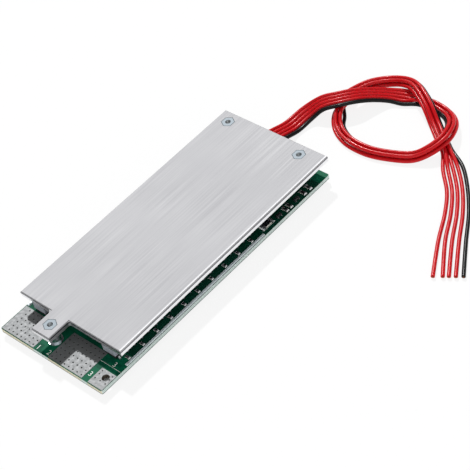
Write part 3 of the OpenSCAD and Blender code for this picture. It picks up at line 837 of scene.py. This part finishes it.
    def strands(self, name: str, end: Vector, way: Vector, finishes: Finishes) -> bpy.types.Object:
        """Models the seven strands that show where a wire is cut.

        Args:
            name: the wire's name.
            end: the tip of the strands.
            way: the direction the wire ends in.
            finishes: the materials.

        Returns:
            The strands as one piece.
        """
        calm()
        bpy.ops.mesh.primitive_cylinder_add(vertices=12, radius=self.strand_r, depth=self.tip * 2)
        model = new_piece("strand")
        pick(model, lambda middle, normal: normal.z > 0.9)
        bpy.ops.mesh.inset(thickness=self.strand_r * 0.3, depth=self.strand_r * 0.15)
        calm()
        turn = way.to_track_quat("Z", "Y").to_matrix().to_4x4()
        base = Matrix.Translation(end - way * self.tip * 1.06) @ turn
        places = [base]
        for degrees in range(0, 360, 60):
            around = Matrix.Rotation(math.radians(degrees), 4, "Z") @ Vector((self.strand_r * 2.1, 0, 0))
            places.append(base @ Matrix.Translation(around))
        piece = repeat(f"strands_{name}", model, places)
        piece.data.materials.append(finishes.strand)
        return seat(piece, Slot.SOLDER)


@dataclass(frozen=True)
class ChipPart:
    """A chip resistor or capacitor: body, wrap-round end caps and solder fillets, long side along Y."""

    length: float
    width: float
    height: float
    cap: float = 0.22
    wrap: float = 0.03 * MM
    edge: float = 0.04 * MM
    fillet: float = 0.34 * MM

    def build(self, name: str, places: Sequence[Matrix], finishes: Finishes, slot: Slot) -> None:
        """Models one chip and copies it to its places.

        Args:
            name: the CAD node that the row stands for.
            places: where the chips go.
            finishes: the materials.
            slot: the record's slot.
        """
        plain = slot is Slot.CAPACITOR
        bare = (self.width - 2 * self.wrap, self.length, self.height - self.wrap)
        model = block("chip", bare, self.edge)
        body = finishes.capacitor if plain else finishes.ceramic
        for material in (body, finishes.glass, finishes.caps, finishes.leads):
            model.data.materials.append(material)
        bound = self.length * (0.5 - self.cap)
        for side in (-1, 1):
            edit(model)
            bpy.ops.mesh.bisect(plane_co=(0, side * bound, 0), plane_no=(0, 1, 0))
        # The end caps take the caps' finish, painted near white as a highlight.
        pick(model, lambda middle, normal: abs(middle.y) > bound)
        model.active_material_index = 2
        bpy.ops.object.material_slot_assign()
        bpy.ops.mesh.extrude_region_shrink_fatten(TRANSFORM_OT_shrink_fatten={"value": self.wrap})
        pick(model, lambda middle, normal: abs(middle.y) > bound and abs(normal.y) < 0.9)
        model.active_material_index = 3
        bpy.ops.object.material_slot_assign()
        calm()
        if not plain:
            pick(model, lambda middle, normal: abs(middle.y) < bound * 0.98 and normal.z > 0.9)
            model.active_material_index = 1
            bpy.ops.object.material_slot_assign()
            bpy.ops.mesh.inset(thickness=0.05 * MM, depth=0.02 * MM)
        calm()
        parts = [model]
        for side in (-1, 1):
            foot = block("fillet", (self.width * 1.08, self.fillet * 2, self.height * 0.75))
            # The fillets take the same finish, painted near white as a highlight.
            foot.data.materials.append(finishes.caps)
            pick(foot, lambda middle, normal: normal.z > 0.9)
            bpy.ops.transform.resize(value=(0.8, 0.3, 1))
            bpy.ops.transform.translate(value=(0, -side * self.fillet * 0.6, 0))
            edit(foot)
            bpy.ops.mesh.bevel(offset=self.edge, segments=2, affect="EDGES")
            bpy.ops.transform.translate(value=(0, side * self.length / 2, 0))
            calm()
            parts.append(foot)
        seat(repeat(f"chips_{name}", join("chip", parts), places), slot, [name])


@dataclass(frozen=True)
class SmallTransistor:
    """A three-legged moulded transistor, two legs on its right and one on its left."""

    width: float = 1.3 * MM
    length: float = 2.9 * MM
    height: float = 1.1 * MM
    stand: float = 0.1 * MM
    reach: float = 0.55 * MM
    lead_w: float = 0.4 * MM
    lead_t: float = 0.15 * MM
    lead_pitch: float = 0.95 * MM

    def leg(self, finishes: Finishes) -> bpy.types.Object:
        """Models one leg: a foot on the board, drawn up and into the body.

        Args:
            finishes: the materials.

        Returns:
            The leg, pointing along +X.
        """
        foot = block("leg", (self.reach * 0.6, self.lead_w, self.lead_t))
        edit(foot)
        bpy.ops.transform.translate(value=(self.width / 2 + self.reach * 0.7, 0, 0))
        pick(foot, lambda middle, normal: normal.x < -0.9)
        rise = self.height / 2 - self.lead_t / 2
        bpy.ops.mesh.extrude_region_move(TRANSFORM_OT_translate={"value": (-self.reach * 0.2, 0, rise)})
        bpy.ops.mesh.extrude_region_move(TRANSFORM_OT_translate={"value": (-self.reach * 0.35, 0, 0)})
        edit(foot)
        bpy.ops.mesh.bevel(offset=0.02 * MM, segments=1, affect="EDGES")
        calm()
        foot.data.materials.append(finishes.leads)
        return foot

    def build(self, name: str, places: Sequence[Matrix], finishes: Finishes) -> None:
        """Models one transistor and copies it to its places.

        Args:
            name: the CAD node that the row stands for.
            places: where they go.
            finishes: the materials.
        """
        body = block("body", (self.width, self.length, self.height - self.stand), base=self.stand)
        pick(body, lambda middle, normal: normal.z > 0.9)
        bpy.ops.transform.resize(value=(0.86, 0.93, 1))
        edit(body)
        bpy.ops.mesh.bevel(offset=0.06 * MM, segments=2, affect="EDGES")
        calm()
        body.data.materials.append(finishes.moulding)
        legs = repeat(
            "legs",
            self.leg(finishes),
            [at(0, -self.lead_pitch, 0), at(0, self.lead_pitch, 0), at(0, 0, 0, 180)],
        )
        row = repeat(f"transistors_{name}", join("transistor", [body, legs]), places)
        seat(row, Slot.MOULDING, [name])


@dataclass
class SolderBead:
    """The long hand-run bead of solder along a board edge.

    It is drawn out to the cut edge and a little further in than its CAD node, so that it reads as broad.
    """

    side: str
    step: float = 1.0 * MM
    wave: float = 0.1 * MM
    inward: float = 0.25 * MM

    def build(self, finishes: Finishes) -> None:
        """Draws a rounded section out along the edge and lets it wander.

        Args:
            finishes: the materials.
        """
        node = f"solder_bus_{self.side}"
        low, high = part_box(node)
        edge_low, edge_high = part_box("circuit_board")
        if self.side == "right":
            low.x, high.x = low.x - self.inward, edge_high.x
        else:
            low.x, high.x = edge_low.x, high.x + self.inward
        size = high - low
        bead = block("bead", (size.x - self.wave, self.step, size.z - self.wave / 2))
        pick(bead, lambda middle, normal: normal.z > 0.9)
        bpy.ops.transform.resize(value=(0.55, 1, 1))
        pick(bead, lambda middle, normal: abs(normal.y) < 0.5 and normal.z > -0.5)
        bpy.ops.mesh.bevel(offset=0.2 * MM, segments=4, affect="EDGES")
        rows = int(size.y / self.step) - 1
        wander = random.Random(7 if self.side == "left" else 11)
        swell = 1.0
        pick(bead, lambda middle, normal: normal.y > 0.9)
        for _ in range(rows):
            bpy.ops.mesh.extrude_region_move(TRANSFORM_OT_translate={"value": (0, self.step, 0)})
            swell, last = wander.uniform(0.9, 1.0), swell
            bpy.ops.transform.resize(value=(swell / last, 1, 1))
        take(bead)
        cloud = bpy.data.textures.new("bead_cloud", "CLOUDS")
        cloud.noise_scale = 3.0 * MM
        push = bead.modifiers.new("push", "DISPLACE")
        push.texture, push.texture_coords, push.strength, push.mid_level = cloud, "LOCAL", self.wave, 0.5
        bpy.ops.object.modifier_apply(modifier="push")
        settle(bead, at((low.x + high.x) / 2, low.y + self.step / 2, low.z))
        bead.data.materials.append(finishes.bath)
        bead.name = f"bead_{self.side}"
        seat(bead, Slot.SOLDER, [node], 60)


@dataclass
class CircuitBoard:
    """The board with its pads, printing, solder and small parts."""

    ring_r: float = 3.3 * MM
    land_r: float = 2.52 * MM
    tin: float = 0.05 * MM
    ink: float = 0.02 * MM
    via_r: float = 0.35 * MM
    via_edge: float = 1.2 * MM
    via_pitch: float = 2.5 * MM
    via_rows: int = 6
    hole_side: float = 3.5 * MM
    hole_front: float = 6 * MM
    hole_r: float = 1.8 * MM
    # Offsets from the plate's front and back that bound the painted shade under it.
    painted_shade_front: float = 17 * MM
    painted_shade_back: float = 8 * MM
    gate: ChipPart = ChipPart(2.0 * MM, 1.25 * MM, 0.5 * MM)
    shunt: ChipPart = ChipPart(6.4 * MM, 3.2 * MM, 0.8 * MM)
    sense: ChipPart = ChipPart(3.2 * MM, 1.6 * MM, 0.5 * MM)
    sense_pitch: float = 3.8 * MM
    sense_steps: tuple[float, ...] = (0, 1, 3.4, 4.1)
    small: SmallTransistor = SmallTransistor()
    filter_w: float = 0.8 * MM
    filter_side: float = 1.6 * MM

    def top(self) -> float:
        """Gives the height of the board's top."""
        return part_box("circuit_board")[1].z

    def middles(self, node: str) -> tuple[Vector, Vector]:
        """Gives the middle and the size of a CAD node's box."""
        low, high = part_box(node)
        return (low + high) / 2, high - low

    def rings(self, finishes: Finishes) -> None:
        """Models the tinned lands round the standoffs' feet.

        Args:
            finishes: the materials.
        """
        calm()
        bpy.ops.mesh.primitive_circle_add(vertices=64, radius=self.ring_r)
        model = new_piece("land")
        bpy.ops.object.mode_set(mode="EDIT")
        bpy.ops.mesh.primitive_circle_add(vertices=64, radius=self.land_r)
        bpy.ops.mesh.select_all(action="SELECT")
        bpy.ops.mesh.bridge_edge_loops()
        bpy.ops.mesh.select_all(action="SELECT")
        bpy.ops.mesh.extrude_region_move(TRANSFORM_OT_translate={"value": (0, 0, self.tin)})
        calm()
        model.data.materials.append(finishes.solder)
        places = []
        for node in ("standoff_front", "standoff_back_left", "standoff_back_right"):
            middle, _ = self.middles(node)
            places.append(at(middle.x, middle.y, self.top()))
        seat(repeat("standoff_lands", model, places), Slot.SOLDER)

    def via_rims(self, finishes: Finishes) -> None:
        """Models the raised solder rims round the terminal pads' vias.

        Args:
            finishes: the materials.
        """
        calm()
        bpy.ops.mesh.primitive_torus_add(
            major_radius=self.via_r + 0.05 * MM, minor_radius=0.04 * MM, major_segments=16, minor_segments=6
        )
        model = new_piece("rim")
        edit(model)
        bpy.ops.transform.resize(value=(1, 1, 0.7))
        calm()
        model.data.materials.append(finishes.tin)
        places, edge, pitch = [], self.via_edge, self.via_pitch
        for node in ("battery_pad", "load_pad"):
            low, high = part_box(node)
            step = (high.y - low.y - 2 * edge) / (self.via_rows - 1)
            for i in range(int((high.x - low.x - 2 * edge) / pitch + 1e-6) + 1):
                for j in range(self.via_rows):
                    places.append(at(high.x - edge - i * pitch, low.y + edge + j * step, high.z))
        seat(repeat("via_rims", model, places), Slot.SOLDER)

    def printing(self, finishes: Finishes) -> None:
        """Prints plain numbers beside the pads, a line behind the charge pad and a line beside the shunt.

        Args:
            finishes: the materials.
        """
        battery, load, charge = (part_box(f"{n}_pad") for n in ("battery", "load", "charge"))
        parts = []
        for text, x, y in (
            ("1", battery[1].x + 0.9 * MM, battery[0].y + 0.4 * MM),
            ("2", load[0].x - 2.1 * MM, load[0].y + 0.8 * MM),
            ("3", load[1].x + 0.8 * MM, load[0].y + 2.6 * MM),
            ("3", charge[0].x + 2.4 * MM, charge[1].y + 2.9 * MM),
        ):
            calm()
            bpy.ops.object.text_add()
            letter = bpy.context.active_object
            letter.data.body, letter.data.size, letter.data.extrude = text, 3.4 * MM, self.ink / 2
            bpy.ops.object.convert(target="MESH")
            parts.append(settle(bpy.context.active_object, at(x, y, self.top() + self.ink / 2)))
        shunt_low, shunt_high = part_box("edge_shunt")
        line_y = charge[1].y + 2.3 * MM
        bars = (
            (load[1].x + 0.1 * MM, line_y, charge[1].x - 0.2 * MM, line_y + 0.18 * MM),
            (shunt_high.x + 0.18 * MM, shunt_low.y - 1 * MM, shunt_high.x + 0.3 * MM, shunt_high.y + 1 * MM),
        )
        for x0, y0, x1, y1 in bars:
            bar = block("bar", (x1 - x0, y1 - y0, self.ink), 0.004 * MM)
            parts.append(settle(bar, at((x0 + x1) / 2, (y0 + y1) / 2, self.top())))
        piece = join("printing", parts)
        piece.data.materials.clear()
        piece.data.materials.append(finishes.ink)
        seat(piece, Slot.LAMINATE)

    def build(self, finishes: Finishes) -> None:
        """Dresses the board and builds what is on it.

        Args:
            finishes: the materials.
        """
        pads = tuple(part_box(f"{n}_pad") for n in ("battery", "load", "charge"))
        low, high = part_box("circuit_board")
        hole = (high.x - self.hole_side, low.y + self.hole_front, self.hole_r)
        plate_low, plate_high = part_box("heatsink_plate")
        # Painted shade: the mask is darker under the plate between these offsets from its front and back.
        bare = (plate_low.y + self.painted_shade_front, plate_high.y - self.painted_shade_back)
        mask = MaskedLaminate("Solder mask over glass laminate", pads, low.y, low.z, bare, hole)
        dress("circuit_board", mask.material())
        for node in ("battery_pad", "load_pad", "charge_pad"):
            dress(node, finishes.tin)
        dress("wire_joints", finishes.solder)
        self.rings(finishes)
        self.via_rims(finishes)
        self.printing(finishes)
        for side in ("left", "right"):
            SolderBead(side).build(finishes)
        self.rows(finishes)
        self.cells(finishes)

    def rows(self, finishes: Finishes) -> None:
        """Builds the resistors and small transistors along the edges, and the row of shunts.

        Args:
            finishes: the materials.
        """
        z, slot = self.top(), Slot.RESISTOR
        middle, size = self.middles("gate_resistors")
        far, count = size.x / 2 - self.gate.length / 2, 10
        first, step = middle.y - size.y / 2 + self.gate.width / 2, (size.y - self.gate.width) / (count - 1)
        places = [at(side * far, first + step * k, z, 90) for side in (-1, 1) for k in range(count)]
        self.gate.build("gate_resistors", places, finishes, slot)
        middle, size = self.middles("shunt_resistors")
        step = (size.x - self.shunt.width) / 5
        places = [at(middle.x + (k - 2.5) * step, middle.y, z) for k in range(6)]
        self.shunt.build("shunt_resistors", places, finishes, slot)
        middle, _ = self.middles("edge_shunt")
        self.shunt.build("edge_shunt", [at(middle.x, middle.y, z)], finishes, slot)
        middle, size = self.middles("edge_resistors")
        back = middle.y + size.y / 2 - self.sense.width / 2
        places = [at(middle.x, back - k * self.sense_pitch, z, 90) for k in self.sense_steps]
        self.sense.build("edge_resistors", places, finishes, slot)
        middle, size = self.middles("edge_transistors")
        far = size.y / 2 - self.small.length / 2
        places = [at(middle.x, middle.y + side * far, z) for side in (1, -1)]
        self.small.build("edge_transistors", places, finishes)

    def cells(self, finishes: Finishes) -> None:
        """Builds the balancing row: a transistor, a resistor and two capacitors for each cell.

        Args:
            finishes: the materials.
        """
        z, count = self.top(), 4
        middle, size = self.middles("balance_transistors")
        step = (size.x - self.small.width - 2 * self.small.reach) / (count - 1)
        across = [middle.x + (k - (count - 1) / 2) * step for k in range(count)]
        self.small.build("balance_transistors", [at(x, middle.y, z) for x in across], finishes)
        middle, size = self.middles("balance_resistors")
        chip = ChipPart(size.y, size.x - (count - 1) * step, size.z)
        chip.build("balance_resistors", [at(x, middle.y, z) for x in across], finishes, Slot.RESISTOR)
        middle, size = self.middles("chip_capacitors")
        places = [at(x + side * self.filter_side, middle.y, z) for x in across for side in (-1, 1)]
        chip = ChipPart(size.y, self.filter_w, size.z)
        chip.build("chip_capacitors", places, finishes, Slot.CAPACITOR)


@dataclass
class PowerStage:
    """The transistors under the plate, their leads and heat pads, and the protection chip."""

    def build(self, finishes: Finishes) -> None:
        """Dresses the CAD nodes.

        Args:
            finishes: the materials.
        """
        for side in ("left", "right"):
            dress(f"mosfet_bodies_{side}", finishes.moulding)
            dress(f"mosfet_leads_{side}", finishes.leads)
            dress(f"thermal_strip_{side}", finishes.silicone)
        dress("protection_ic", finishes.moulding)
        dress("protection_ic_leads", finishes.leads)


@dataclass
class Heatsink:
    """The bare sheet over the board and the zinc-plated parts that hold it."""

    thread_r: float = 1.25 * MM

    def build(self, finishes: Finishes) -> None:
        """Dresses the plate, standoffs and screws.

        Args:
            finishes: the materials.
        """
        dress("heatsink_plate", finishes.plate)
        dress("screws", finishes.zinc_screws)
        for node in ("standoff_front", "standoff_back_left", "standoff_back_right"):
            low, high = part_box(node)
            middle = (low + high) / 2
            zinc = ThreadedZinc(f"Zinc plate, tapped, {node}", (middle.x, middle.y), self.thread_r)
            dress(node, zinc.material())


@dataclass
class Studio:
    """A white floor, a small key light behind the object on its left, and a soft even fill."""

    key_from: tuple[float, float, float] = (-0.73, 0.56, 1.0)
    soft_from: tuple[float, float, float] = (0.78, -0.6, 0.12)
    key: float = 2.7
    fill: float = 0.25
    soft: float = 1.15

    def build(self) -> None:
        """Adds the floor, the key and the world."""
        calm()
        bpy.ops.mesh.primitive_grid_add(x_subdivisions=8, y_subdivisions=8, size=6)
        floor = new_piece("floor")
        edit(floor)
        bpy.ops.transform.translate(value=(0, 0, AT_LOAD[0].z - 0.05 * MM))
        calm()
        floor.data.materials.append(PalePaper("Studio paper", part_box("circuit_board")).material())
        bpy.ops.object.light_add(type="SUN")
        key = new_piece("key")
        key.matrix_world = Vector(self.key_from).to_track_quat("Z", "Y").to_matrix().to_4x4()
        key.data.energy, key.data.angle = self.key, math.radians(3)
        world = bpy.data.worlds.new("studio")
        bpy.context.scene.world = world
        world.use_nodes = True
        tree = world.node_tree
        tree.nodes.clear()
        way = put(tree, "TexCoord").outputs["Generated"]
        toward = Vector(self.soft_from).normalized()
        ahead = put(tree, "VectorMath", (way, toward), operation="DOT_PRODUCT")
        spread = (ahead, 0.3, 0.85, self.fill, self.soft)
        soft = put(tree, "MapRange", spread, interpolation_type="SMOOTHSTEP")
        seen = put(tree, "LightPath").outputs["Is Camera Ray"]
        level = put(tree, "Mix", (seen, soft, 1.0), data_type="FLOAT")
        sky = put(tree, "Background", ((1, 1, 1, 1), level))
        put(tree, "OutputWorld", {"Surface": sky})
        bpy.context.scene.view_settings.view_transform = "Standard"


def main() -> None:
    logging.basicConfig(level=logging.INFO, format="%(name)s %(message)s")
    StudioCamera().build()
    finishes = Finishes()
    SenseWires().build(finishes)
    CircuitBoard().build(finishes)
    PowerStage().build(finishes)
    Heatsink().build(finishes)
    Studio().build()
    calm()


if __name__ == "__main__":
    main()
